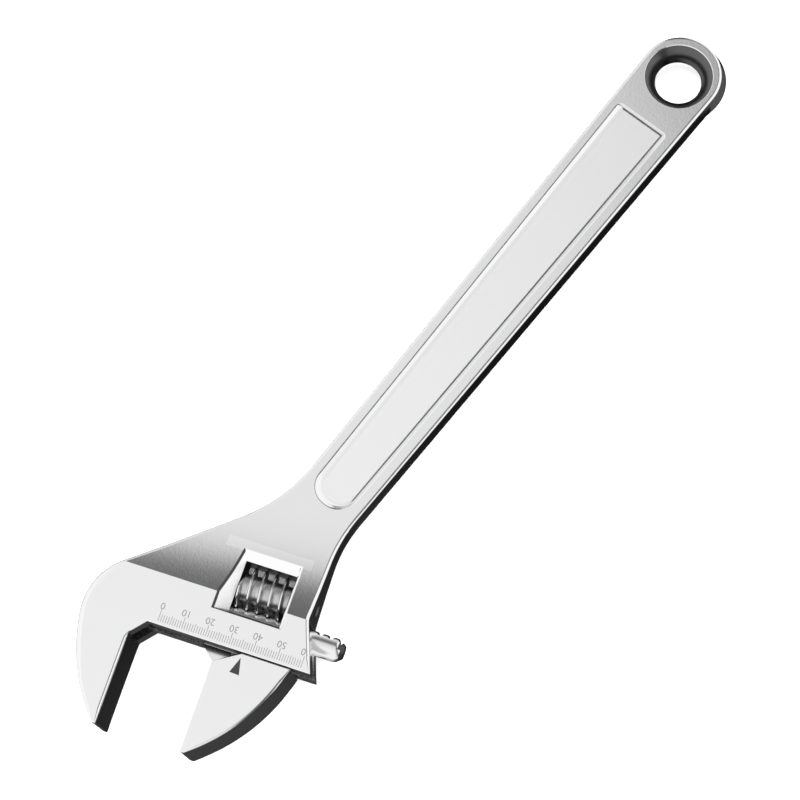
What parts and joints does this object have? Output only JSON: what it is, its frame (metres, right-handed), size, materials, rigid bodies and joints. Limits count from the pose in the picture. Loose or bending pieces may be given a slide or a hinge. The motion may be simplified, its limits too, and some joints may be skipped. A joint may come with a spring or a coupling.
{
  "type": "adjustable wrench",
  "caption": "Adjustable wrench with a fixed jaw on a flat handle, a sliding jaw moved by a worm in the head, and a flared hanging hole.",
  "frame": {"origin": "centre of the hanging hole, half way through the handle", "axes": "+X along the handle from the jaws to the hanging hole, +Z square to the flat faces, towards the face with the scale"},
  "size_m": [0.3788, 0.0961, 0.028],
  "materials": {
    "body": "satin chrome, polished flats on the head",
    "jaw": "satin chrome",
    "worm": "turned steel, dark in the thread",
    "pin": "turned steel",
    "spring": "spring steel wire"
  },
  "bodies": {
    "body": {"wrench_body": "body", "worm_pin": "pin", "worm_spring": "spring"},
    "jaw": {"sliding_jaw": "jaw"},
    "worm": {"worm_screw": "worm"}
  },
  "joints": [
    {"name": "jaw_slide", "type": "slide", "parent": "body", "child": "jaw", "axis": [0.3486, -0.9373, 0], "range_m": [-0.035, 0.0105]},
    {"name": "worm_turn", "type": "hinge", "parent": "body", "child": "worm", "pos_m": [-0.27611, -0.00401, 0], "axis": [0.3486, -0.9373, 0], "range_deg": [-860, 2840]}
  ],
  "couplings": [
    {"joint": "worm_turn", "follows": "jaw_slide", "rad_per_m": -1412}
  ]
}
